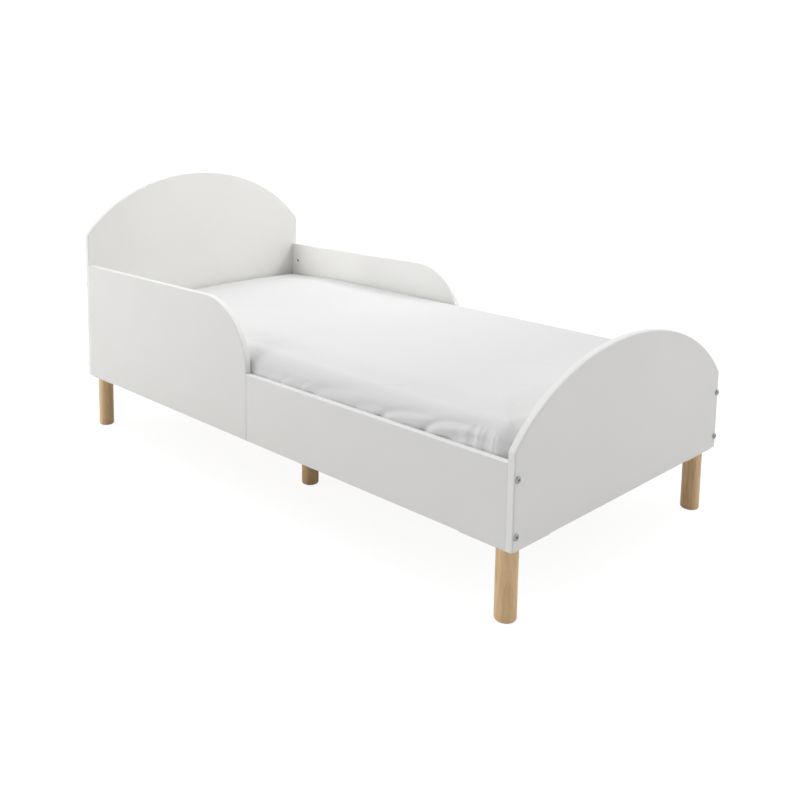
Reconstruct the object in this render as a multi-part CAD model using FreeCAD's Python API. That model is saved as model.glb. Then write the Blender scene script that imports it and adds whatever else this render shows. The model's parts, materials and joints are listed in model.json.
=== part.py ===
import FreeCAD, Part
import math
import os

# A child's bed for a 1400 x 700 mattress.
# X runs along the bed, head end at -X.  The front side is at -Y.  The floor is Z = 0.

# ---- overall sizes, mm
BED_LENGTH = 1446.0
BED_WIDTH = 746.0
BOARD_T = 15.0
BOARD_BOTTOM = 141.0
LOW_SIDE_TOP = 293.5
TALL_SIDE_TOP = 450.0
EDGE_R = 2.0
END_OUTER_R = 3.5
HEAD_INNER_R = 2.0
FOOT_INNER_R = 0.8
JOIN_X = 0.0
JOIN_GAP = 0.6

# ---- end boards: vertical edges, then half an ellipse
HEAD_ELLIPSE_Z = 353.0
HEAD_ELLIPSE_HALF_Y = 439.5
HEAD_ELLIPSE_HALF_Z = 341.0
FOOT_ELLIPSE_Z = 191.0
FOOT_ELLIPSE_HALF_Y = 420.0
FOOT_ELLIPSE_HALF_Z = 264.0
SHOULDER_R = 12.0

# ---- slatted base
LEDGER_T = 20.0
LEDGER_H = 40.0
LEDGER_TOP = 234.0
LEDGER_END_GAP = 5.0
SLAT_COUNT = 13
SLAT_PITCH = 108.0
SLAT_WIDTH = 62.0
SLAT_T = 16.0
SLAT_END_GAP = 2.0
TAPE_WIDTH = 25.0
TAPE_T = 1.0
TAPE_Y = 300.0
BEAM_WIDTH = 60.0
BEAM_X = 15.0
BEAM_END_GAP = 1.0

# ---- legs
LEG_R = 19.75
LEG_X = 689.0
LEG_Y = 340.0
MID_LEG_Y = 196.0
LEG_FOOT_R = 5.0
PLATE_T = 4.0
PLATE_SIDE = 118.0
PLATE_INSET = 5.0
PLATE_SCREW_IN = 5.0
PLATE_CORNER_R = 8.0
MID_PLATE_X = 60.0
BOSS_R = 9.0
BOSS_H = 9.0
HANGER_R = 4.0
HANGER_IN_LEG = 38.0

# ---- knock-down fittings
BOLT_R = 3.0
BOLT_HEAD_R = 6.1
BOLT_HEAD_H = 2.8
BOLT_SOCKET_AF = 4.0
BOLT_SOCKET_DEPTH = 2.4
BOLT_REACH = 34.0
NUT_R = 5.0
NUT_LENGTH = 10.0
NUT_FROM_END = 24.0
NUT_HOLE_DEPTH = 12.6
FOOT_BOLT_Z = (168.0, 267.0)
HEAD_BOLT_Z = (169.0, 396.0)
DOWEL_R = 4.0
DOWEL_LENGTH = 34.0
FOOT_DOWEL_Z = (219.0,)
HEAD_DOWEL_Z = (240.0, 316.0)
JOIN_DOWEL_Z = (168.0, 262.0)
SCREW_R = 2.0
SCREW_HEAD_R = 4.0
SCREW_HEAD_H = 2.4
GAP = 0.05

# ---- mattress, lying 0.3 mm above the slats
MATTRESS_LENGTH = 1400.0
MATTRESS_WIDTH = 700.0
MATTRESS_T = 100.0
MATTRESS_LIFT = 0.3
MATTRESS_CORNER_R = 28.0
MATTRESS_EDGE_R = 22.0
SHEET_T = 1.2
SHEET_HEM = 70.0

X_IN = BED_LENGTH / 2 - BOARD_T
Y_OUT = BED_WIDTH / 2
Y_IN = Y_OUT - BOARD_T
Y_MID = Y_OUT - BOARD_T / 2
SLAT_TOP = LEDGER_TOP + SLAT_T
LEG_TOP = BOARD_BOTTOM - PLATE_T

V = FreeCAD.Vector
os.makedirs("parts", exist_ok=True)


def save(shape, node):
    shape.exportStep("parts/" + node + ".step")


def box(x0, x1, y0, y1, z0, z1):
    return Part.makeBox(x1 - x0, y1 - y0, z1 - z0, V(x0, y0, z0))


def rod(radius, length, start, direction):
    return Part.makeCylinder(radius, length, start, direction)


def face_edges(shape, axis):
    """The edges that lie in a plane square to the given axis."""
    found = []
    for edge in shape.Edges:
        b = edge.BoundBox
        size = {"X": b.XLength, "Y": b.YLength, "Z": b.ZLength}[axis]
        if size < 1e-6:
            found.append(edge)
    return found


def cut_all(shape, tools):
    if not tools:
        return shape
    return shape.cut(Part.makeCompound(tools))


def screw(start, direction, length, head_r=SCREW_HEAD_R, radius=SCREW_R):
    """A countersunk wood screw; start is the middle of its head's face."""
    d = V(direction)
    d.normalize()
    head = Part.makeCone(head_r, radius, SCREW_HEAD_H, start, d)
    shank = rod(radius, length - 4.0 - SCREW_HEAD_H, start + d * SCREW_HEAD_H, d)
    tip = Part.makeCone(radius, 0.3, 4.0, start + d * (length - 4.0), d)
    body = head.fuse([shank, tip]).removeSplitter()
    side = V(0, 0, 1) if abs(d.z) < 0.5 else V(1, 0, 0)
    other = d.cross(side)
    for a, b in ((side, other), (other, side)):
        corners = []
        for s, t in ((-2.2, -0.4), (2.2, -0.4), (2.2, 0.4), (-2.2, 0.4)):
            corners.append(start + a * s + b * t - d * 0.1)
        corners.append(corners[0])
        slot = Part.Face(Part.makePolygon(corners)).extrude(d * 1.4)
        body = body.cut(slot)
    return body


def screw_hole(start, direction, length, head_r=SCREW_HEAD_R, radius=SCREW_R):
    """The space that a screw takes, with a little room round it."""
    d = V(direction)
    d.normalize()
    deep = SCREW_HEAD_H + GAP
    head = Part.makeCone(head_r + 2 * GAP, radius + GAP, deep, start, d)
    shank = rod(radius + GAP, length + 0.5, start - d * 0.2, d)
    return head.fuse(shank)


def end_board(x0, centre_z, half_y, half_z, inner_r):
    """A board with straight upright edges and an elliptical top."""
    ratio = math.sqrt(1.0 - (Y_OUT / half_y) ** 2)
    z_edge = centre_z + half_z * ratio
    low_left = V(x0, -Y_OUT, BOARD_BOTTOM)
    low_right = V(x0, Y_OUT, BOARD_BOTTOM)
    high_right = V(x0, Y_OUT, z_edge)
    high_left = V(x0, -Y_OUT, z_edge)
    if half_y >= half_z:
        ellipse = Part.Ellipse(V(x0, half_y, centre_z), V(x0, 0, centre_z + half_z), V(x0, 0, centre_z))
    else:
        ellipse = Part.Ellipse(V(x0, 0, centre_z + half_z), V(x0, half_y, centre_z), V(x0, 0, centre_z))
    t1 = ellipse.parameter(high_right)
    t2 = ellipse.parameter(high_left)
    arc = Part.Arc(ellipse, min(t1, t2), max(t1, t2)).toShape()
    if arc.BoundBox.ZMax < centre_z + half_z - 1.0:
        arc = Part.Arc(ellipse, max(t1, t2), min(t1, t2) + 2 * math.pi).toShape()
    edges = [
        Part.makeLine(low_left, low_right),
        Part.makeLine(low_right, high_right),
        arc,
        Part.makeLine(high_left, low_left),
    ]
    wire = Part.Wire(Part.__sortEdges__(edges))
    board = Part.Face(wire).extrude(V(BOARD_T, 0, 0))
    shoulders = []
    for edge in board.Edges:
        b = edge.BoundBox
        if b.YLength < 1e-6 and b.ZLength < 1e-6 and b.ZMin > z_edge - 1.0:
            shoulders.append(edge)
    board = board.makeFillet(SHOULDER_R, shoulders)
    outer_x = max(abs(x0), abs(x0 + BOARD_T))
    for radius, outer in ((END_OUTER_R, True), (inner_r, False)):
        rim = []
        for edge in face_edges(board, "X"):
            if (abs(edge.BoundBox.XMin) > outer_x - 0.01) == outer and edge.Length > 0.5:
                if outer or abs(edge.BoundBox.XMin) < outer_x - BOARD_T + 0.01:
                    rim.append(edge)
        board = board.makeFillet(radius, rim)
    return board


# ---- every fitting's place, gathered first so that holes and parts agree
bolts = []
bolt_holes = []
nuts = []
nut_holes = []
dowels = []
dowel_holes = []


def add_bolt(end, side, z):
    """A connector bolt through an end board into a cross dowel nut."""
    y = side * Y_MID
    into = V(-end, 0, 0)
    face = V(end * BED_LENGTH / 2, y, z)
    head = rod(BOLT_HEAD_R, BOLT_HEAD_H, face, V(end, 0, 0))
    rim = []
    for edge in head.Edges:
        b = edge.BoundBox
        if b.XLength < 1e-6 and abs(b.XMax) > BED_LENGTH / 2 + 1.0:
            rim.append(edge)
    head = head.makeFillet(0.9, rim)
    shank = rod(BOLT_R, BOARD_T + BOLT_REACH, face, into)
    bolt = head.fuse(shank).removeSplitter()
    corners = []
    for i in range(7):
        a = math.radians(60 * i + 30)
        r = BOLT_SOCKET_AF / math.sqrt(3.0)
        x = end * (BED_LENGTH / 2 + BOLT_HEAD_H + 0.1)
        corners.append(V(x, y + r * math.cos(a), z + r * math.sin(a)))
    socket = Part.Face(Part.makePolygon(corners)).extrude(into * (BOLT_SOCKET_DEPTH + 0.1))
    bolts.append(bolt.cut(socket))
    bolt_holes.append(rod(BOLT_R + 0.4, BOARD_T + BOLT_REACH + 3.0, face + V(end, 0, 0), into))
    nut_x = end * (X_IN - NUT_FROM_END)
    inward = V(0, -side, 0)
    nut_start = V(nut_x, side * (Y_MID + NUT_LENGTH / 2), z)
    nut = rod(NUT_R, NUT_LENGTH, nut_start, inward)
    nut = nut.cut(rod(BOLT_R + GAP, 20.0, V(nut_x + 10.0, y, z), V(-1, 0, 0)))
    slot_y = side * (Y_MID - NUT_LENGTH / 2)
    nut = nut.cut(box(nut_x - 6, nut_x + 6, slot_y - 1.2, slot_y + 1.2, z - 0.6, z + 0.6))
    nuts.append(nut)
    hole_start = V(nut_x, side * (Y_IN - 1.0), z)
    nut_holes.append(rod(NUT_R + 0.1, NUT_HOLE_DEPTH + 1.0, hole_start, V(0, side, 0)))


def add_dowel(x, y, z):
    """A wooden alignment dowel lying along X, half in each board."""
    start = V(x - DOWEL_LENGTH / 2, y, z)
    dowel = rod(DOWEL_R, DOWEL_LENGTH, start, V(1, 0, 0))
    dowels.append(dowel.makeChamfer(0.8, face_edges(dowel, "X")))
    hole_start = V(x - DOWEL_LENGTH / 2 - 1.0, y, z)
    dowel_holes.append(rod(DOWEL_R + GAP, DOWEL_LENGTH + 2.0, hole_start, V(1, 0, 0)))


for side in (-1, 1):
    for z in FOOT_BOLT_Z:
        add_bolt(1, side, z)
    for z in HEAD_BOLT_Z:
        add_bolt(-1, side, z)
    # end dowels sit 10 mm deep in the end board
    for z in FOOT_DOWEL_Z:
        add_dowel(X_IN - DOWEL_LENGTH / 2 + 11.0, side * Y_MID, z)
    for z in HEAD_DOWEL_Z:
        add_dowel(-X_IN + DOWEL_LENGTH / 2 - 11.0, side * Y_MID, z)
    for z in JOIN_DOWEL_Z:
        add_dowel(JOIN_X, side * Y_MID, z)

# ---- screws
ledger_screws = []
ledger_screw_holes = []
for side in (-1, 1):
    for x in (-640.0, -440.0, -240.0, -70.0, 70.0, 240.0, 440.0, 640.0):
        start = V(x, side * (Y_IN - LEDGER_T), LEDGER_TOP - LEDGER_H / 2)
        ledger_screws.append(screw(start, V(0, side, 0), 32.0))
        ledger_screw_holes.append(screw_hole(start, V(0, side, 0), 32.0))

beam_screws = []
beam_screw_holes = []
for side in (-1, 1):
    for dx in (-16.0, 16.0):
        start = V(BEAM_X + dx, side * (Y_IN - LEDGER_T / 2), BOARD_BOTTOM + 12.0)
        beam_screws.append(screw(start, V(0, 0, 1), 60.0, head_r=4.6, radius=2.5))
        hole = screw_hole(start, V(0, 0, 1), 60.0, head_r=4.6, radius=2.5)
        sink = rod(5.2, 13.0, start - V(0, 0, 13.0), V(0, 0, 1))
        beam_screw_holes.append(hole.fuse(sink))

slat_screws = []
slat_screw_holes = []
first_slat_x = -SLAT_PITCH * (SLAT_COUNT - 1) / 2
for x in (first_slat_x, -first_slat_x):
    for side in (-1, 1):
        start = V(x, side * (Y_IN - LEDGER_T / 2), SLAT_TOP)
        slat_screws.append(screw(start, V(0, 0, -1), 34.0))
        slat_screw_holes.append(screw_hole(start, V(0, 0, -1), 34.0))

plate_screws = []
plate_screw_holes = []
edge_y = Y_IN + PLATE_SCREW_IN
edge_x = X_IN + PLATE_SCREW_IN
for sx in (-1, 1):
    for sy in (-1, 1):
        spots = (
            (sx * 616.0, sy * edge_y),
            (sx * 660.0, sy * edge_y),
            (sx * edge_x, sy * 266.0),
            (sx * edge_x, sy * 310.0),
        )
        for x, y in spots:
            start = V(x, y, LEG_TOP)
            plate_screws.append(screw(start, V(0, 0, 1), 22.0))
            plate_screw_holes.append(screw_hole(start, V(0, 0, 1), 22.0))
for sy in (-1, 1):
    for dx in (-20.0, 20.0):
        for dy in (-48.0, 48.0):
            start = V(BEAM_X + dx, sy * MID_LEG_Y + dy, LEG_TOP)
            plate_screws.append(screw(start, V(0, 0, 1), 22.0))
            plate_screw_holes.append(screw_hole(start, V(0, 0, 1), 22.0))

tape_staples = []
staple_holes = []
for n in range(SLAT_COUNT):
    x = first_slat_x + n * SLAT_PITCH
    for side in (-1, 1):
        y = side * TAPE_Y
        low = LEDGER_TOP - TAPE_T
        crown = box(x - 0.6, x + 0.6, y - 5.0, y + 5.0, low - 0.6, low)
        prongs = []
        for dy in (-4.7, 4.7):
            prongs.append(box(x - 0.6, x + 0.6, y + dy - 0.3, y + dy + 0.3, low - 0.3, low + 8.0))
            staple_holes.append(box(x - 0.65, x + 0.65, y + dy - 0.35, y + dy + 0.35, low - 1.0, low + 8.2))
        tape_staples.append(crown.fuse(prongs).removeSplitter())

# ---- end boards
end_tools = bolt_holes + dowel_holes + plate_screw_holes
head_top = (HEAD_ELLIPSE_Z, HEAD_ELLIPSE_HALF_Y, HEAD_ELLIPSE_HALF_Z)
headboard = end_board(-BED_LENGTH / 2, *head_top, HEAD_INNER_R)
save(cut_all(headboard, end_tools), "headboard")
foot_top = (FOOT_ELLIPSE_Z, FOOT_ELLIPSE_HALF_Y, FOOT_ELLIPSE_HALF_Z)
footboard = end_board(X_IN, *foot_top, FOOT_INNER_R)
save(cut_all(footboard, end_tools), "footboard")


# ---- side boards: a tall one at the head end, a low one at the foot end
def low_side(y0):
    board = box(JOIN_X + JOIN_GAP / 2, X_IN, y0, y0 + BOARD_T, BOARD_BOTTOM, LOW_SIDE_TOP)
    rounded = []
    for edge in face_edges(board, "Y"):
        if edge.BoundBox.XMin < X_IN - 1.0:
            rounded.append(edge)
    return board.makeFillet(EDGE_R, rounded)


def tall_side(y0):
    x1 = JOIN_X - JOIN_GAP / 2
    r = TALL_SIDE_TOP - LOW_SIDE_TOP
    middle = V(x1 - r + r * math.sqrt(0.5), y0, LOW_SIDE_TOP + r * math.sqrt(0.5))
    edges = [
        Part.makeLine(V(-X_IN, y0, BOARD_BOTTOM), V(x1, y0, BOARD_BOTTOM)),
        Part.makeLine(V(x1, y0, BOARD_BOTTOM), V(x1, y0, LOW_SIDE_TOP)),
        Part.Arc(V(x1, y0, LOW_SIDE_TOP), middle, V(x1 - r, y0, TALL_SIDE_TOP)).toShape(),
        Part.makeLine(V(x1 - r, y0, TALL_SIDE_TOP), V(-X_IN, y0, TALL_SIDE_TOP)),
        Part.makeLine(V(-X_IN, y0, TALL_SIDE_TOP), V(-X_IN, y0, BOARD_BOTTOM)),
    ]
    wire = Part.Wire(Part.__sortEdges__(edges))
    board = Part.Face(wire).extrude(V(0, BOARD_T, 0))
    rounded = []
    for edge in face_edges(board, "Y"):
        b = edge.BoundBox
        if b.XMax > -X_IN + 1.0:
            rounded.append(edge)
    return board.makeFillet(EDGE_R, rounded)


side_tools = bolt_holes + nut_holes + dowel_holes + ledger_screw_holes + plate_screw_holes
for name, y0 in (("front", -Y_OUT), ("rear", Y_IN)):
    save(cut_all(tall_side(y0), side_tools), "tall_side_panel_" + name)
    save(cut_all(low_side(y0), side_tools), "low_side_panel_" + name)

# ---- slatted base
for name, side in (("front", -1), ("rear", 1)):
    a = side * Y_IN
    b = side * (Y_IN - LEDGER_T)
    x_end = X_IN - LEDGER_END_GAP
    rail = box(-x_end, x_end, min(a, b), max(a, b), LEDGER_TOP - LEDGER_H, LEDGER_TOP)
    long_edges = []
    for edge in rail.Edges:
        if edge.BoundBox.XLength > 100.0:
            long_edges.append(edge)
    rail = rail.makeFillet(1.5, long_edges)
    rail_tools = ledger_screw_holes + beam_screw_holes + slat_screw_holes
    save(cut_all(rail, rail_tools), "ledger_rail_" + name)

beam_half = Y_IN - BEAM_END_GAP
beam_top = LEDGER_TOP - LEDGER_H
beam = box(BEAM_X - BEAM_WIDTH / 2, BEAM_X + BEAM_WIDTH / 2, -beam_half, beam_half, BOARD_BOTTOM, beam_top)
beam_edges = []
for edge in beam.Edges:
    if edge.BoundBox.YLength > 100.0:
        beam_edges.append(edge)
beam = beam.makeFillet(2.0, beam_edges)
beam_tools = beam_screw_holes + plate_screw_holes
for side in (-1, 1):
    recess = V(BEAM_X, side * MID_LEG_Y, BOARD_BOTTOM - 1.0)
    beam_tools.append(rod(BOSS_R + 0.5, BOSS_H + 4.0, recess, V(0, 0, 1)))
save(cut_all(beam, beam_tools), "centre_cross_beam")

slat_half = Y_IN - SLAT_END_GAP
for n in range(SLAT_COUNT):
    x = first_slat_x + n * SLAT_PITCH
    slat = box(x - SLAT_WIDTH / 2, x + SLAT_WIDTH / 2, -slat_half, slat_half, LEDGER_TOP, SLAT_TOP)
    long_edges = []
    for edge in slat.Edges:
        if edge.BoundBox.YLength > 100.0:
            long_edges.append(edge)
    slat = slat.makeFillet(3.0, long_edges)
    near = []
    for tool in slat_screw_holes + staple_holes:
        if abs(tool.BoundBox.Center.x - x) < 5.0:
            near.append(tool)
    save(cut_all(slat, near), "slat_%02d" % (n + 1))

tape_end = -first_slat_x + SLAT_WIDTH / 2 - 8.0
for name, side in (("front", -1), ("rear", 1)):
    y = side * TAPE_Y
    tape = box(-tape_end, tape_end, y - TAPE_WIDTH / 2, y + TAPE_WIDTH / 2, LEDGER_TOP - TAPE_T, LEDGER_TOP)
    save(cut_all(tape, staple_holes), "slat_tape_" + name)


# ---- legs, their plates and the bolts that hold them
def leg(x, y):
    post = rod(LEG_R, LEG_TOP, V(x, y, 0), V(0, 0, 1))
    foot = []
    head = []
    for edge in post.Edges:
        b = edge.BoundBox
        if b.ZMax < 1e-6:
            foot.append(edge)
        if b.ZMin > LEG_TOP - 1e-6:
            head.append(edge)
    post = post.makeFillet(LEG_FOOT_R, foot)
    head = []
    for edge in post.Edges:
        if edge.BoundBox.ZMin > LEG_TOP - 1e-6:
            head.append(edge)
    post = post.makeFillet(1.0, head)
    hole = rod(HANGER_R + GAP, HANGER_IN_LEG + 1.0, V(x, y, LEG_TOP - HANGER_IN_LEG), V(0, 0, 1))
    return post.cut(hole)


def leg_plate(x0, x1, y0, y1, leg_x, leg_y):
    plate = box(x0, x1, y0, y1, LEG_TOP, BOARD_BOTTOM)
    corners = []
    for edge in plate.Edges:
        if edge.BoundBox.ZLength > 1.0:
            corners.append(edge)
    plate = plate.makeFillet(PLATE_CORNER_R, corners)
    plate = plate.makeFillet(0.8, face_edges(plate, "Z"))
    boss = rod(BOSS_R, BOSS_H + 1.0, V(leg_x, leg_y, BOARD_BOTTOM - 1.0), V(0, 0, 1))
    plate = plate.fuse(boss).removeSplitter()
    hole = rod(HANGER_R + GAP, 30.0, V(leg_x, leg_y, LEG_TOP - 5.0), V(0, 0, 1))
    return plate.cut(hole)


hangers = []


def add_hanger(x, y):
    low = LEG_TOP - HANGER_IN_LEG + 1.0
    top = BOARD_BOTTOM + BOSS_H
    hanger = rod(HANGER_R, top - low, V(x, y, low), V(0, 0, 1))
    hangers.append(hanger.makeChamfer(0.8, face_edges(hanger, "Z")))


outer_x = BED_LENGTH / 2 - PLATE_INSET
outer_y = Y_OUT - PLATE_INSET
for end_name, sx in (("head", -1), ("foot", 1)):
    for side_name, sy in (("front", -1), ("rear", 1)):
        x = sx * LEG_X
        y = sy * LEG_Y
        save(leg(x, y), "leg_" + end_name + "_" + side_name)
        xs = sorted((sx * outer_x, sx * (outer_x - PLATE_SIDE)))
        ys = sorted((sy * outer_y, sy * (outer_y - PLATE_SIDE)))
        plate = leg_plate(xs[0], xs[1], ys[0], ys[1], x, y)
        save(cut_all(plate, plate_screw_holes), "leg_plate_" + end_name + "_" + side_name)
        add_hanger(x, y)
for side_name, sy in (("front", -1), ("rear", 1)):
    y = sy * MID_LEG_Y
    save(leg(BEAM_X, y), "leg_middle_" + side_name)
    half = MID_PLATE_X / 2
    plate = leg_plate(BEAM_X - half, BEAM_X + half, y - PLATE_SIDE / 2, y + PLATE_SIDE / 2, BEAM_X, y)
    save(cut_all(plate, plate_screw_holes), "leg_plate_middle_" + side_name)
    add_hanger(BEAM_X, y)

# ---- fasteners, one node for each kind
save(Part.makeCompound(bolts), "connector_bolts")
save(Part.makeCompound(nuts), "barrel_nuts")
save(Part.makeCompound(dowels), "alignment_dowels")
save(Part.makeCompound(hangers), "leg_hanger_bolts")
save(Part.makeCompound(ledger_screws), "ledger_screws")
save(Part.makeCompound(beam_screws), "beam_screws")
save(Part.makeCompound(slat_screws), "slat_screws")
save(Part.makeCompound(plate_screws), "plate_screws")
save(Part.makeCompound(tape_staples), "tape_staples")


# ---- mattress: a foam block inside a fitted sheet
def pad(inset):
    half_x = MATTRESS_LENGTH / 2 - inset
    half_y = MATTRESS_WIDTH / 2 - inset
    z0 = SLAT_TOP + MATTRESS_LIFT + inset
    z1 = SLAT_TOP + MATTRESS_LIFT + MATTRESS_T - inset
    block = box(-half_x, half_x, -half_y, half_y, z0, z1)
    corners = []
    for edge in block.Edges:
        if edge.BoundBox.ZLength > 1.0:
            corners.append(edge)
    block = block.makeFillet(MATTRESS_CORNER_R - inset, corners)
    return block.makeFillet(MATTRESS_EDGE_R - inset, face_edges(block, "Z"))


save(pad(SHEET_T + 0.1), "mattress_core")
under_x = MATTRESS_LENGTH / 2 - SHEET_HEM
under_y = MATTRESS_WIDTH / 2 - SHEET_HEM
z_low = SLAT_TOP
under_opening = box(-under_x, under_x, -under_y, under_y, z_low - 1.0, z_low + 10.0)
sheet = pad(0.0).cut(pad(SHEET_T)).cut(under_opening)
save(sheet, "fitted_sheet")
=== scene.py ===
import bpy
import bmesh
import json
import math
from mathutils import Matrix, Vector, noise


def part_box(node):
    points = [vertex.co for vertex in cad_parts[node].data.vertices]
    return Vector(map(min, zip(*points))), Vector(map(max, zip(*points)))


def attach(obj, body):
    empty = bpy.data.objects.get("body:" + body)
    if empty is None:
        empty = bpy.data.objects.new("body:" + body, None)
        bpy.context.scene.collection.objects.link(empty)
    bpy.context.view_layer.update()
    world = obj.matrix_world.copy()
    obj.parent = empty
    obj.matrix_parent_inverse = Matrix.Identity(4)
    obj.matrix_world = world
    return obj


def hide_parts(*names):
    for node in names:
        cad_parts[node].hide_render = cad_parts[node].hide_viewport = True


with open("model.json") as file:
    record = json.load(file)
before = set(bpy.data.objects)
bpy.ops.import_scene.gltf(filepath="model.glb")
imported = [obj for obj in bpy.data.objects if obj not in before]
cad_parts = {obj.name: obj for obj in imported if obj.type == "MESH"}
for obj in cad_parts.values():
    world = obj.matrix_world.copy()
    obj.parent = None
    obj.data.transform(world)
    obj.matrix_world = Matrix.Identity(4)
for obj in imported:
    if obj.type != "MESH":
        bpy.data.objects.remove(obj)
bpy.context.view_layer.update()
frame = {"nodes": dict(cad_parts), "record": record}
NODES = frame["nodes"]
scene = bpy.context.scene
coll = scene.collection

# ------------------------------------------------------------------ colours
FACE = (0.862, 0.856, 0.836)
FACE_DEEP = (0.845, 0.838, 0.817)
# painted highlight: the whiter colour given to the boards' edges
EDGE_HIGHLIGHT = (0.945, 0.943, 0.935)
OAK_LIGHT = (0.94, 0.69, 0.41)
OAK_MID = (0.88, 0.61, 0.33)
OAK_DARK = (0.76, 0.48, 0.245)
PINE_LIGHT = (0.72, 0.53, 0.31)
PINE_DARK = (0.52, 0.32, 0.15)
SHEET_WHITE = (0.825, 0.825, 0.825)

# ------------------------------------------------------------------ camera
YAW = math.radians(46.384)
PITCH = math.radians(7.334)
ROLL = math.radians(0.558)
CAM_POS = Vector((1.5567, -1.5489, 0.8434))
FOCAL_PX = 904.2
CENTRE_PX = (348.1, 240.0)
PICTURE = 800.0
SENSOR_MM = 36.0


def make_camera():
    back = Vector((math.sin(YAW) * math.cos(PITCH), -math.cos(YAW) * math.cos(PITCH), math.sin(PITCH)))
    right = Vector((math.cos(YAW), math.sin(YAW), 0.0))
    up = back.cross(right)
    rolled_right = right * math.cos(ROLL) + up * math.sin(ROLL)
    rolled_up = up * math.cos(ROLL) - right * math.sin(ROLL)
    axes = Matrix((rolled_right, rolled_up, back)).transposed()
    data = bpy.data.cameras.new("camera")
    cam = bpy.data.objects.new("camera", data)
    coll.objects.link(cam)
    cam.matrix_world = Matrix.Translation(CAM_POS) @ axes.to_4x4()
    data.sensor_width = SENSOR_MM
    data.lens = FOCAL_PX / PICTURE * SENSOR_MM
    data.shift_x = (PICTURE / 2 - CENTRE_PX[0]) / PICTURE
    data.shift_y = (CENTRE_PX[1] - PICTURE / 2) / PICTURE
    data.clip_start = 0.05
    data.clip_end = 100.0
    scene.camera = cam


make_camera()


# ------------------------------------------------------------------ node helpers
def new_material(name):
    mat = bpy.data.materials.new(name)
    mat.use_nodes = True
    tree = mat.node_tree
    tree.nodes.clear()
    out = tree.nodes.new("ShaderNodeOutputMaterial")
    shader = tree.nodes.new("ShaderNodeBsdfPrincipled")
    tree.links.new(shader.outputs["BSDF"], out.inputs["Surface"])
    return mat, tree, shader


def add(tree, kind, inputs):
    """A new node of that kind, with its inputs set from a dict of socket name to value."""
    node = tree.nodes.new(kind)
    for key, value in inputs.items():
        node.inputs[key].default_value = value
    return node


def mapped(tree, scale=(1.0, 1.0, 1.0)):
    """Object coordinates in metres, stretched by 1 / scale along each axis."""
    coords = tree.nodes.new("ShaderNodeTexCoord")
    mapping = add(tree, "ShaderNodeMapping", {"Scale": scale})
    tree.links.new(coords.outputs["Object"], mapping.inputs["Vector"])
    return mapping.outputs["Vector"]


def noise_tex(tree, vector, scale, detail=3.0, roughness=0.5, distortion=0.0):
    inputs = {"Scale": scale, "Detail": detail, "Roughness": roughness, "Distortion": distortion}
    node = add(tree, "ShaderNodeTexNoise", inputs)
    tree.links.new(vector, node.inputs["Vector"])
    return node.outputs["Fac"]


def wave_tex(tree, vector, scale, direction, distortion, detail, detail_scale):
    inputs = {"Scale": scale, "Distortion": distortion, "Detail": detail, "Detail Scale": detail_scale}
    node = add(tree, "ShaderNodeTexWave", inputs)
    node.wave_type = "BANDS"
    node.bands_direction = direction
    tree.links.new(vector, node.inputs["Vector"])
    return node.outputs["Fac"]


def ramp(tree, fac, stops):
    """A colour ramp: stops are pairs of place, from 0 to 1, and colour."""
    node = tree.nodes.new("ShaderNodeValToRGB")
    elements = node.color_ramp.elements
    while len(elements) < len(stops):
        elements.new(0.5)
    for element, (place, colour) in zip(elements, stops):
        element.position = place
        element.color = (*colour, 1.0)
    tree.links.new(fac, node.inputs["Fac"])
    return node.outputs["Color"]


def plug(tree, socket, value):
    """Link the socket if the value is another node's output, or else set it."""
    if hasattr(value, "is_linked"):
        tree.links.new(value, socket)
    else:
        socket.default_value = value


def mix(tree, fac, a, b, blend="MIX"):
    """Mix two colours, each a triple or another node's output."""
    node = tree.nodes.new("ShaderNodeMix")
    node.data_type = "RGBA"
    node.blend_type = blend
    colours = [value if hasattr(value, "is_linked") else (*value, 1.0) for value in (a, b)]
    # sockets 0, 6 and 7 are the factor and the two colours, and output 2 is the colour
    for index, value in ((0, fac), (6, colours[0]), (7, colours[1])):
        plug(tree, node.inputs[index], value)
    return node.outputs[2]


def maths(tree, operation, a, b=0.0):
    node = tree.nodes.new("ShaderNodeMath")
    node.operation = operation
    plug(tree, node.inputs[0], a)
    plug(tree, node.inputs[1], b)
    return node.outputs[0]


def map_range(tree, value, from_min, from_max, to_min, to_max):
    """A smooth step from to_min to to_max while the value goes from from_min to from_max."""
    inputs = {"From Min": from_min, "From Max": from_max, "To Min": to_min, "To Max": to_max}
    node = add(tree, "ShaderNodeMapRange", inputs)
    node.interpolation_type = "SMOOTHSTEP"
    tree.links.new(value, node.inputs["Value"])
    return node.outputs["Result"]


def camera_switch(tree, out, lit, seen):
    """Show one shader to the camera and another one to all other rays."""
    path = tree.nodes.new("ShaderNodeLightPath")
    both = tree.nodes.new("ShaderNodeMixShader")
    tree.links.new(path.outputs["Is Camera Ray"], both.inputs["Fac"])
    tree.links.new(lit, both.inputs[1])
    tree.links.new(seen, both.inputs[2])
    tree.links.new(both.outputs["Shader"], out.inputs["Surface"])


def bump(tree, shader, height, strength, distance, normal=None):
    node = add(tree, "ShaderNodeBump", {"Strength": strength, "Distance": distance})
    tree.links.new(height, node.inputs["Height"])
    if normal is not None:
        tree.links.new(normal, node.inputs["Normal"])
    tree.links.new(node.outputs["Normal"], shader.inputs["Normal"])
    return node.outputs["Normal"]


def plain(shader, roughness, metallic=0.0, specular=0.5, coat=0.0, coat_roughness=0.1, sheen=0.0):
    shader.inputs["Roughness"].default_value = roughness
    shader.inputs["Metallic"].default_value = metallic
    shader.inputs["Specular IOR Level"].default_value = specular
    shader.inputs["Coat Weight"].default_value = coat
    shader.inputs["Coat Roughness"].default_value = coat_roughness
    shader.inputs["Sheen Weight"].default_value = sheen


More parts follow.
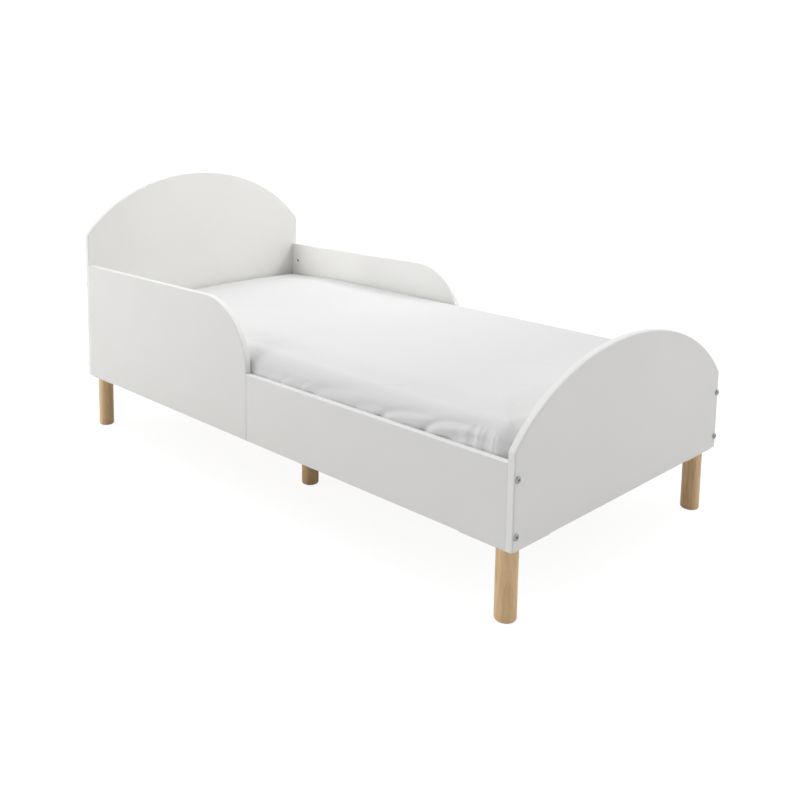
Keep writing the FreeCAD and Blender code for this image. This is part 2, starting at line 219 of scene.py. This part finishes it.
# ------------------------------------------------------------------ materials
def paint_material(name, axis):
    """Sprayed satin white paint on MDF, with faint orange peel, a slight change of tone, and a painted
    highlight: the edges are coloured whiter than the faces.

    The axis is the one that the board's faces look along."""
    mat, tree, shader = new_material(name)
    where = mapped(tree)
    patches = noise_tex(tree, where, 3.0, detail=2.0)
    face = ramp(tree, patches, [(0.35, FACE_DEEP), (0.65, FACE)])
    coords = tree.nodes.new("ShaderNodeTexCoord")
    split = tree.nodes.new("ShaderNodeSeparateXYZ")
    tree.links.new(coords.outputs["Normal"], split.inputs["Vector"])
    facing = maths(tree, "ABSOLUTE", split.outputs[axis])
    # painted highlight: where the normal turns away from the board's faces, on its edges, the colour is
    # whiter
    on_face = ramp(tree, facing, [(0.72, (0.0, 0.0, 0.0)), (0.97, (1.0, 1.0, 1.0))])
    tree.links.new(mix(tree, on_face, EDGE_HIGHLIGHT, face), shader.inputs["Base Color"])
    peel = noise_tex(tree, where, 420.0, detail=2.0, roughness=0.4)
    lumps = noise_tex(tree, where, 45.0, detail=1.0)
    both = maths(tree, "ADD", peel, maths(tree, "MULTIPLY", lumps, 1.5))
    bump(tree, shader, both, 0.10, 0.0004)
    plain(shader, 0.42, specular=0.45)
    return mat


def leg_material():
    """Clear-lacquered hardwood, turned, with its grain upright."""
    mat, tree, shader = new_material("leg_wood")
    along = mapped(tree, (1.0, 1.0, 0.07))
    growth = noise_tex(tree, along, 95.0, roughness=0.55, distortion=0.6)
    fine = noise_tex(tree, mapped(tree, (1.0, 1.0, 0.035)), 620.0, detail=2.0, roughness=0.6)
    pores = noise_tex(tree, mapped(tree, (1.0, 1.0, 0.05)), 900.0, detail=1.0)
    base = ramp(tree, growth, [(0.30, OAK_DARK), (0.48, OAK_MID), (0.66, OAK_LIGHT)])
    streaks = ramp(tree, fine, [(0.35, (0.86, 0.82, 0.76)), (0.60, (1.0, 1.0, 1.0))])
    colour = mix(tree, 0.65, base, streaks, "MULTIPLY")
    dots = ramp(tree, pores, [(0.28, (0.62, 0.52, 0.42)), (0.36, (1.0, 1.0, 1.0))])
    colour = mix(tree, 0.4, colour, dots, "MULTIPLY")
    tree.links.new(colour, shader.inputs["Base Color"])
    bump(tree, shader, maths(tree, "ADD", fine, pores), 0.18, 0.0003)
    plain(shader, 0.38, specular=0.5, coat=0.25, coat_roughness=0.3)
    return mat


def pine_material(name, stretch, light=PINE_LIGHT, dark=PINE_DARK):
    """Planed softwood, unpainted, with its grain along the axis whose stretch is small."""
    mat, tree, shader = new_material(name)
    rings = noise_tex(tree, mapped(tree, stretch), 28.0, detail=4.0, distortion=0.8)
    grain = mapped(tree, stretch)
    bands = wave_tex(tree, grain, 16.0, "DIAGONAL", distortion=5.0, detail=2.0, detail_scale=1.2)
    longer = tuple(s if s > 0.5 else s * 0.4 for s in stretch)
    fibres = noise_tex(tree, mapped(tree, longer), 500.0, detail=2.0, roughness=0.6)
    figure = maths(tree, "ADD", maths(tree, "MULTIPLY", rings, 0.6), maths(tree, "MULTIPLY", bands, 0.4))
    between = tuple((a + b) / 2 for a, b in zip(light, dark))
    base = ramp(tree, figure, [(0.25, dark), (0.45, between), (0.62, light)])
    streaks = ramp(tree, fibres, [(0.30, (0.80, 0.77, 0.72)), (0.60, (1.0, 1.0, 1.0))])
    tree.links.new(mix(tree, 0.7, base, streaks, "MULTIPLY"), shader.inputs["Base Color"])
    bump(tree, shader, fibres, 0.25, 0.0003)
    plain(shader, 0.62, specular=0.35)
    return mat


def plate_material():
    """Powder-coated steel: a fine grainy white."""
    mat, tree, shader = new_material("plate_paint")
    grain = noise_tex(tree, mapped(tree), 700.0, detail=2.0)
    colour = ramp(tree, grain, [(0.3, (0.78, 0.78, 0.78)), (0.7, (0.83, 0.83, 0.83))])
    tree.links.new(colour, shader.inputs["Base Color"])
    bump(tree, shader, grain, 0.3, 0.0003)
    plain(shader, 0.5)
    return mat


def zinc_material(name, dark, light):
    """Zinc plating with faint clouding."""
    mat, tree, shader = new_material(name)
    where = mapped(tree)
    cloud = noise_tex(tree, where, 260.0)
    colour = ramp(tree, cloud, [(0.3, dark), (0.7, light)])
    tree.links.new(colour, shader.inputs["Base Color"])
    bump(tree, shader, noise_tex(tree, where, 1500.0, detail=2.0), 0.15, 0.0002)
    plain(shader, 0.32, metallic=1.0)
    return mat


def weave(tree, where, pitch):
    """Height of a plain weave with the given thread spacing, in metres."""
    scale = 1.0 / (2.0 * math.pi * pitch)
    warp, weft, up = [
        wave_tex(tree, where, scale, axis, distortion=0.6, detail=1.0, detail_scale=2.0) for axis in "XYZ"
    ]
    return maths(tree, "ADD", maths(tree, "MULTIPLY", warp, weft), maths(tree, "MULTIPLY", up, 0.5))


def sheet_material():
    """White cotton: fine plain weave, slubs, and the soft crinkle of washed cloth."""
    mat, tree, shader = new_material("sheet_cloth")
    where = mapped(tree)
    threads = weave(tree, where, 0.0008)
    slubs = noise_tex(tree, mapped(tree, (1.0, 0.12, 1.0)), 900.0, detail=2.0)
    crinkle = noise_tex(tree, where, 38.0, detail=4.0, roughness=0.55, distortion=0.4)
    colour = ramp(tree, slubs, [(0.3, tuple(c * 0.97 for c in SHEET_WHITE)), (0.7, SHEET_WHITE)])
    tree.links.new(colour, shader.inputs["Base Color"])
    fine = bump(tree, shader, maths(tree, "ADD", threads, slubs), 0.25, 0.0003)
    bump(tree, shader, crinkle, 0.10, 0.004, fine)
    plain(shader, 0.85, specular=0.25, sheen=0.12)
    shader.inputs["Sheen Roughness"].default_value = 0.5
    return mat


def knit_material(name, tone):
    """Cover cloth of the foam block: a coarser knit."""
    mat, tree, shader = new_material(name)
    where = mapped(tree)
    loops = weave(tree, where, 0.0016)
    mottle = noise_tex(tree, where, 60.0)
    colour = ramp(tree, mottle, [(0.3, tuple(c * 0.94 for c in tone)), (0.7, tone)])
    tree.links.new(colour, shader.inputs["Base Color"])
    bump(tree, shader, loops, 0.5, 0.0006)
    plain(shader, 0.9, specular=0.2, sheen=0.1)
    return mat


MATERIALS = {
    "end_board_paint": paint_material("end_board_paint", "X"),
    "side_board_paint": paint_material("side_board_paint", "Y"),
    "leg_wood": leg_material(),
    "base_pine": pine_material("base_pine", (1.0, 0.06, 1.0)),
    "rail_pine": pine_material("rail_pine", (0.06, 1.0, 1.0)),
    "dowel_wood": pine_material("dowel_wood", (0.1, 1.0, 1.0), (0.66, 0.48, 0.29), (0.50, 0.33, 0.17)),
    "plate_paint": plate_material(),
    "zinc": zinc_material("zinc", (0.36, 0.37, 0.39), (0.52, 0.53, 0.55)),
    # painted shade: near-black zinc for the barrel nuts, standing in for the shade inside their holes
    "zinc_painted_shade": zinc_material("zinc_painted_shade", (0.05, 0.05, 0.055), (0.09, 0.09, 0.10)),
    "sheet_cloth": sheet_material(),
    "foam": knit_material("foam", (0.86, 0.85, 0.82)),
    "webbing": knit_material("webbing", (0.74, 0.73, 0.69)),
}

SLOT_OF = {s["node"]: s["material_slot"] for s in frame["record"]["subparts"]}


def dress_cad_nodes():
    for name, obj in NODES.items():
        key = SLOT_OF[name]
        if name.startswith("ledger_rail"):
            key = "rail_pine"
        # the barrel nuts get the near-black zinc, which paints the shade of their holes
        if name == "barrel_nuts":
            key = "zinc_painted_shade"
        if key == "board_paint":
            key = "side_board_paint" if "side_panel" in name else "end_board_paint"
        obj.data.materials.clear()
        obj.data.materials.append(MATERIALS[key])


dress_cad_nodes()


# ------------------------------------------------------------------ mattress and sheet
lo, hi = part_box("fitted_sheet")
MID = Vector([(a + b) / 2 for a, b in zip(lo, hi)])
HALF = Vector([(b - a) / 2 for a, b in zip(lo, hi)])
CORNER_R = 0.034
# the edge is slack along the front and towards the foot, and tight elsewhere
EDGE_R = 0.032
TIGHT_EDGE_R = 0.010
HEM = 0.07
# the sides swell by this much, and nothing stands out further than MOST_OUT
SIDE_BULGE = 0.0074
MOST_OUT = 0.0076
# the soft top: how far it falls at its edges, over what width, and how it rises towards the head
SOFT_FALL = 0.013
REAR_FALL = 0.002
SOFT_ZONE = 0.11
TOP_RISE = 0.005
TOP_SLOPE = -0.016
TOP_END_ZONE = 0.25
# grid steps along x, y and z, and the finer step within FINE_ZONE of an upright corner
SHEET_STEPS = (0.004, 0.010, 0.0028)
FINE_STEP = 0.002
FINE_ZONE = 0.05
# the foam block inside
CORE_INSET = 0.005
CORE_STEPS = (0.02, 0.02, 0.01)
CORE_DIP = 0.0012


def smooth_step(a, b, t):
    t = max(0.0, min(1.0, (t - a) / (b - a)))
    return t * t * (3 - 2 * t)


def rounded(p, half, corner_r, edge_r):
    """Move a point of a plain box on to the box with rounded corners and edges.

    It gives the point and the outward direction there."""
    plan = []
    for i in (0, 1):
        limit = half[i] - corner_r
        plan.append(max(-limit, min(limit, p[i])))
    v = Vector((p[0] - plan[0], p[1] - plan[1]))
    reach = min(v.length, corner_r - edge_r)
    q = Vector((plan[0], plan[1], max(-(half[2] - edge_r), min(half[2] - edge_r, p[2]))))
    if v.length > 1e-9:
        q.x += v.x / v.length * reach
        q.y += v.y / v.length * reach
    d = Vector(p) - q
    if d.length < 1e-9:
        d = Vector((0, 0, 1))
    d.normalize()
    return q + d * edge_r, d


def box_skin(half, steps, hem=None, fine=None):
    """Grid points over a box: top, four sides, and under it either the whole bottom or a hem of that width.

    The grid is finer, with the step called fine, within FINE_ZONE of the upright corners."""
    def spaced(a, b, step):
        n = max(1, round((b - a) / step))
        return [a + (b - a) * i / n for i in range(n)]

    def lines(axis):
        h = half[axis]
        if fine is None or axis == 2:
            return spaced(-h, h, steps[axis]) + [h]
        inner = h - FINE_ZONE
        return spaced(-h, -inner, fine) + spaced(-inner, inner, steps[axis]) + spaced(inner, h, fine) + [h]

    xs = lines(0)
    ys = lines(1)
    zs = lines(2)
    index_of = {}
    points = []
    faces = []

    def index(point):
        key = tuple(round(c * 1e6) for c in point)
        if key not in index_of:
            index_of[key] = len(points)
            points.append(point)
        return index_of[key]

    def quad(*corners):
        faces.append(tuple(index(corner) for corner in corners))

    def inside(x0, x1, y0, y1):
        if hem is None:
            return False
        cx = (x0 + x1) / 2
        cy = (y0 + y1) / 2
        return abs(cx) < half[0] - hem and abs(cy) < half[1] - hem

    hx, hy, hz = half
    for x0, x1 in zip(xs, xs[1:]):
        for y0, y1 in zip(ys, ys[1:]):
            quad((x0, y0, hz), (x1, y0, hz), (x1, y1, hz), (x0, y1, hz))
            if not inside(x0, x1, y0, y1):
                quad((x0, y0, -hz), (x0, y1, -hz), (x1, y1, -hz), (x1, y0, -hz))
    for z0, z1 in zip(zs, zs[1:]):
        for x0, x1 in zip(xs, xs[1:]):
            quad((x0, -hy, z0), (x1, -hy, z0), (x1, -hy, z1), (x0, -hy, z1))
            quad((x0, hy, z0), (x0, hy, z1), (x1, hy, z1), (x1, hy, z0))
        for y0, y1 in zip(ys, ys[1:]):
            quad((hx, y0, z0), (hx, y1, z0), (hx, y1, z1), (hx, y0, z1))
            quad((-hx, y0, z0), (-hx, y0, z1), (-hx, y1, z1), (-hx, y1, z0))
    return points, faces


def make_object(name, points, faces, mat):
    mesh = bpy.data.meshes.new(name)
    mesh.from_pydata([tuple(p) for p in points], [], faces)
    mesh.update()
    mesh.shade_smooth()
    mesh.materials.append(mat)
    obj = bpy.data.objects.new(name, mesh)
    coll.objects.link(obj)
    return obj


def soften(q):
    """Give the block its soft top: a little higher towards the head, and falling away near its edges."""
    t = smooth_step(-0.2, 1.0, q.z / HALF.z)
    near = min(HALF.x - abs(q.x), HALF.y - abs(q.y))
    deep = REAR_FALL + (SOFT_FALL - REAR_FALL) * smooth_step(-0.20, 0.20, -q.y)
    fall = deep * (1.0 - smooth_step(0.0, SOFT_ZONE, near))
    rise = TOP_RISE + TOP_SLOPE * q.x * smooth_step(0.0, TOP_END_ZONE, HALF.x - abs(q.x))
    q.z += t * (rise - fall)
    return q


# grooves on the long sides, each starting low and sweeping up until it runs along the top edge:
# start along the side, length of the rise, height reached, length of the run, depth, width
SIDE_FOLDS = (
    (0.048, 0.018, 0.66, 0.040, 0.0008, 0.0060),
    (0.098, 0.020, 0.70, 0.050, 0.0012, 0.0065),
    (0.163, 0.012, 0.68, 0.040, 0.0010, 0.0060),
    (0.203, 0.045, 0.84, 0.200, 0.0020, 0.0120),
    (0.325, 0.040, 0.72, 0.120, 0.0013, 0.0100),
    (0.398, 0.035, 0.82, 0.160, 0.0032, 0.0100),
    (0.508, 0.022, 0.84, 0.170, 0.0038, 0.0095),
    (0.560, 0.030, 0.62, 0.110, 0.0022, 0.0080),
)
# all start at this share of the height; the rear's are shifted along by REAR_SHIFT
FOLD_FOOT = 0.40
REAR_SHIFT = 0.035
# gathers: their spacing, how far from a corner they are, and over what length
GATHER_PITCH = 0.0165
GATHER_PLACE = 0.040
GATHER_SPAN = 0.034
GATHER_SWELL = 0.0009
GATHER_CUT = 0.0016
# creases on top: their slant, and the heights of the slow unevenness and of one crease
CREASE_SLANT = math.radians(33.0)
CREASE_SOFT = 0.0010
CREASE_DEPTH = 0.00055


def side_folds(s, t):
    """Depth of the swept grooves at a place s along a side and t up it, from 0 to 1."""
    total = 0.0
    for start, rise, reach, run, depth, width in SIDE_FOLDS:
        if s < start - 0.05 or s > start + run:
            continue
        fall = math.exp(-(s - start) / rise)
        centre = FOLD_FOOT + (reach - FOLD_FOOT) * (1.0 - fall)
        slope = (reach - FOLD_FOOT) * fall / rise * 2 * HALF.z
        u = (t - centre) * 2 * HALF.z / math.sqrt(1.0 + slope * slope) / width
        fade = 1.0 - smooth_step(start + run * 0.45, start + run, s)
        total += depth * fade * (0.75 * math.exp(-(u + 1.5) ** 2) - math.exp(-u * u))
    return total


def corner_place(p, d):
    """Distance round the sheet from where its rounded corner starts, negative on the short side."""
    straight_x = HALF.x - CORNER_R
    straight_y = HALF.y - CORNER_R
    if abs(p.x) < straight_x:
        return straight_x - abs(p.x)
    quarter = CORNER_R * math.pi / 2
    if abs(p.y) < straight_y:
        return -quarter - (straight_y - abs(p.y))
    return -CORNER_R * math.atan2(abs(d.x), abs(d.y))


def gathers(place, t):
    """Short upright creases where the elastic draws in a corner of the sheet."""
    env = math.exp(-((place - GATHER_PLACE) / GATHER_SPAN) ** 2)
    if env < 0.01:
        return 0.0
    turn = place / GATHER_PITCH + 0.35 * math.sin(place * 190.0) + 0.25 * (t - 0.6)
    off = turn - round(turn)
    high = smooth_step(0.1, 0.5, t) * (1.0 - smooth_step(0.74 + 0.08 * math.sin(place * 420.0), 0.93, t))
    swell = GATHER_SWELL * math.cos(2 * math.pi * turn + math.pi)
    cut = GATHER_CUT * math.exp(-(off / 0.19) ** 2)
    return env * high * (swell - cut)


def top_creases(x, y):
    """Long faint creases that run across the bed at a slant, and a soft unevenness."""
    u = x * math.cos(CREASE_SLANT) + y * math.sin(CREASE_SLANT)
    w = y * math.cos(CREASE_SLANT) - x * math.sin(CREASE_SLANT)
    bend = 0.035 * noise.noise(Vector((u * 2.3, w * 1.1, 3.0)))
    soft = noise.noise(Vector((u * 2.4, w * 7.0, 1.0)))
    total = CREASE_SOFT * soft
    for n in range(3):
        field = noise.noise(Vector((u * 1.4, (w + bend) * (7.0 + 3.0 * n), 7.0 + 5.0 * n)))
        line = max(0.0, 1.0 - abs(field) / (0.09 + 0.03 * n))
        where = smooth_step(-0.05, 0.35, noise.noise(Vector((u * 3.0, w * 4.0, 20.0 + 9.0 * n))))
        total -= CREASE_DEPTH * line * line * where
    return total


def wrinkle(p, d):
    """How far a point of the sheet stands off the smooth form."""
    t = (p.z + HALF.z) / (2 * HALF.z)
    out = 0.0
    side = 1.0 - smooth_step(0.70, 0.98, abs(d.z))
    if side > 0.0:
        out += side * SIDE_BULGE * smooth_step(0.0, 0.14, t) * (1.0 - smooth_step(0.30, 1.0, t))
        if abs(d.y) > 0.5:
            along = p.x if p.y < 0.0 else p.x + REAR_SHIFT
            out += side * side_folds(along, t)
            out += side * 0.8 * side_folds(-along - 0.02, t)
        else:
            out += side * 0.6 * side_folds(abs(p.y) * 1.3, t)
        out += side * gathers(corner_place(p, d), t)
        out += side * 0.0011 * noise.noise(Vector((p.x * 12.0, p.y * 12.0, p.z * 30.0)))
        out += side * 0.0004 * noise.noise(Vector((p.x * 45.0, p.y * 45.0, p.z * 70.0)))
    top = smooth_step(0.75, 0.98, d.z)
    if top > 0.0:
        rim = smooth_step(0.0, 0.05, min(HALF.x - abs(p.x), HALF.y - abs(p.y)))
        out += top * rim * top_creases(p.x, p.y)
        # the gathers fan out over the corners
        out += top * 0.35 * gathers(corner_place(p, d), 0.6) * (1.0 - rim)
    return min(out, MOST_OUT)


def build_sheet():
    points, faces = box_skin(HALF, SHEET_STEPS, HEM, FINE_STEP)
    done = []
    for p in points:
        slack = smooth_step(-0.25, 0.25, -p[1]) * smooth_step(-0.70, -0.45, p[0])
        q, d = rounded(p, HALF, CORNER_R, TIGHT_EDGE_R + (EDGE_R - TIGHT_EDGE_R) * slack)
        q = soften(q + d * wrinkle(q, d))
        done.append(q + MID)
    return make_object("fitted_sheet_cloth", done, faces, MATERIALS["sheet_cloth"])


def build_core():
    half = HALF - Vector((CORE_INSET, CORE_INSET, CORE_INSET))
    points, faces = box_skin(half, CORE_STEPS)
    done = []
    for p in points:
        q, d = rounded(p, half, CORNER_R - CORE_INSET, EDGE_R - CORE_INSET)
        dip = CORE_DIP * noise.noise(Vector((q.x * 5.0, q.y * 5.0, q.z * 5.0)))
        done.append(soften(q - d * abs(dip)) + MID)
    return make_object("mattress_block", done, faces, MATERIALS["foam"])


sheet = build_sheet()
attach(sheet, "mattress")
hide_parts("fitted_sheet")

core = build_core()
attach(core, "mattress")
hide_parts("mattress_core")


# ------------------------------------------------------------------ stage and light
DIM_CORNER = (0.700, -0.690, 0.185)
ROOM_LIGHT = 1.11
DIM_LIGHT = 0.02
BACK_SHARE = 0.76
FLOOR_RADIUS = 60.0
FLOOR_TONE = 0.86
FLOOR_SEEN_TONE = 0.20
FLOOR_GLOW = 0.91
BACKDROP = 1.15
# name, place, what it is aimed at, width across, watts, spread in degrees
LAMPS = (
    ("overhead", (0.0, -0.30, 1.5), (0.0, 0.4, 0.4), 0.7, 2.3, 180.0),
    ("left_box", (-2.0, -2.3, 1.5), (-0.2, -0.1, 0.30), 1.5, 6.8, 180.0),
    ("low_box", (-1.7, -1.9, 0.28), (-0.5, -0.37, 0.12), 0.9, 6.8, 180.0),
    ("right_box", (2.6, 0.9, 0.7), (0.7, 0.0, 0.3), 1.0, 4.2, 180.0),
    ("fill_1", (-0.2, -1.6, 1.4), (-0.52, 0.37, 0.43), 0.15, 0.10, 13.0),
    ("fill_2", (0.4, -1.6, 1.4), (-0.18, 0.37, 0.43), 0.15, 0.06, 13.0),
    ("rear_box", (0.6, 1.35, 1.65), (-0.75, 0.0, 0.45), 0.3, 1.4, 65.0),
)


def grey(level):
    return (level, level, level, 1.0)


def make_floor():
    mesh = bpy.data.meshes.new("floor")
    bm = bmesh.new()
    bmesh.ops.create_circle(bm, cap_ends=True, radius=FLOOR_RADIUS, segments=64)
    bm.to_mesh(mesh)
    bm.free()
    floor = bpy.data.objects.new("floor", mesh)
    coll.objects.link(floor)
    floor.location.z = -0.0005
    # the camera sees a near-white floor; the bed is lit from below as by a pale grey one
    mat, tree, shader = new_material("floor_white")
    shader.inputs["Base Color"].default_value = grey(FLOOR_TONE)
    plain(shader, 0.9, specular=0.0)
    bright = tree.nodes.new("ShaderNodeBsdfPrincipled")
    bright.inputs["Base Color"].default_value = grey(FLOOR_SEEN_TONE)
    bright.inputs["Emission Color"].default_value = grey(1.0)
    bright.inputs["Emission Strength"].default_value = FLOOR_GLOW
    plain(bright, 0.9, specular=0.0)
    out = [n for n in tree.nodes if n.type == "OUTPUT_MATERIAL"][0]
    camera_switch(tree, out, shader.outputs["BSDF"], bright.outputs["BSDF"])
    mesh.materials.append(mat)


def make_world():
    """A plain white backdrop, and a bright room to light the bed.

    The room has a dim corner at the front right, and is a little less bright behind the bed."""
    world = bpy.data.worlds.new("world")
    scene.world = world
    world.use_nodes = True
    tree = world.node_tree
    tree.nodes.clear()
    out = tree.nodes.new("ShaderNodeOutputWorld")
    seen = add(tree, "ShaderNodeBackground", {"Color": grey(1.0), "Strength": BACKDROP})
    lit = add(tree, "ShaderNodeBackground", {"Color": grey(1.0)})
    coords = tree.nodes.new("ShaderNodeTexCoord")
    towards = tree.nodes.new("ShaderNodeVectorMath")
    towards.operation = "DOT_PRODUCT"
    towards.inputs[1].default_value = DIM_CORNER
    tree.links.new(coords.outputs["Generated"], towards.inputs[0])
    front = map_range(tree, towards.outputs["Value"], 0.28, 0.86, ROOM_LIGHT, DIM_LIGHT)
    back = map_range(tree, towards.outputs["Value"], -1.0, -0.05, BACK_SHARE, 1.0)
    tree.links.new(maths(tree, "MULTIPLY", front, back), lit.inputs["Strength"])
    camera_switch(tree, out, lit.outputs["Background"], seen.outputs["Background"])


def area_light(name, place, target, size, watts, spread):
    data = bpy.data.lights.new(name, "AREA")
    data.shape = "DISK"
    data.size = size
    data.energy = watts
    data.spread = math.radians(spread)
    lamp = bpy.data.objects.new(name, data)
    coll.objects.link(lamp)
    lamp.location = place
    aim = Vector(target) - Vector(place)
    lamp.rotation_mode = "QUATERNION"
    lamp.rotation_quaternion = aim.to_track_quat("-Z", "Y")


make_floor()
make_world()
for lamp_row in LAMPS:
    area_light(*lamp_row)
scene.view_settings.view_transform = "Standard"
scene.view_settings.look = "None"
scene.view_settings.exposure = 0.0
scene.view_settings.gamma = 1.0
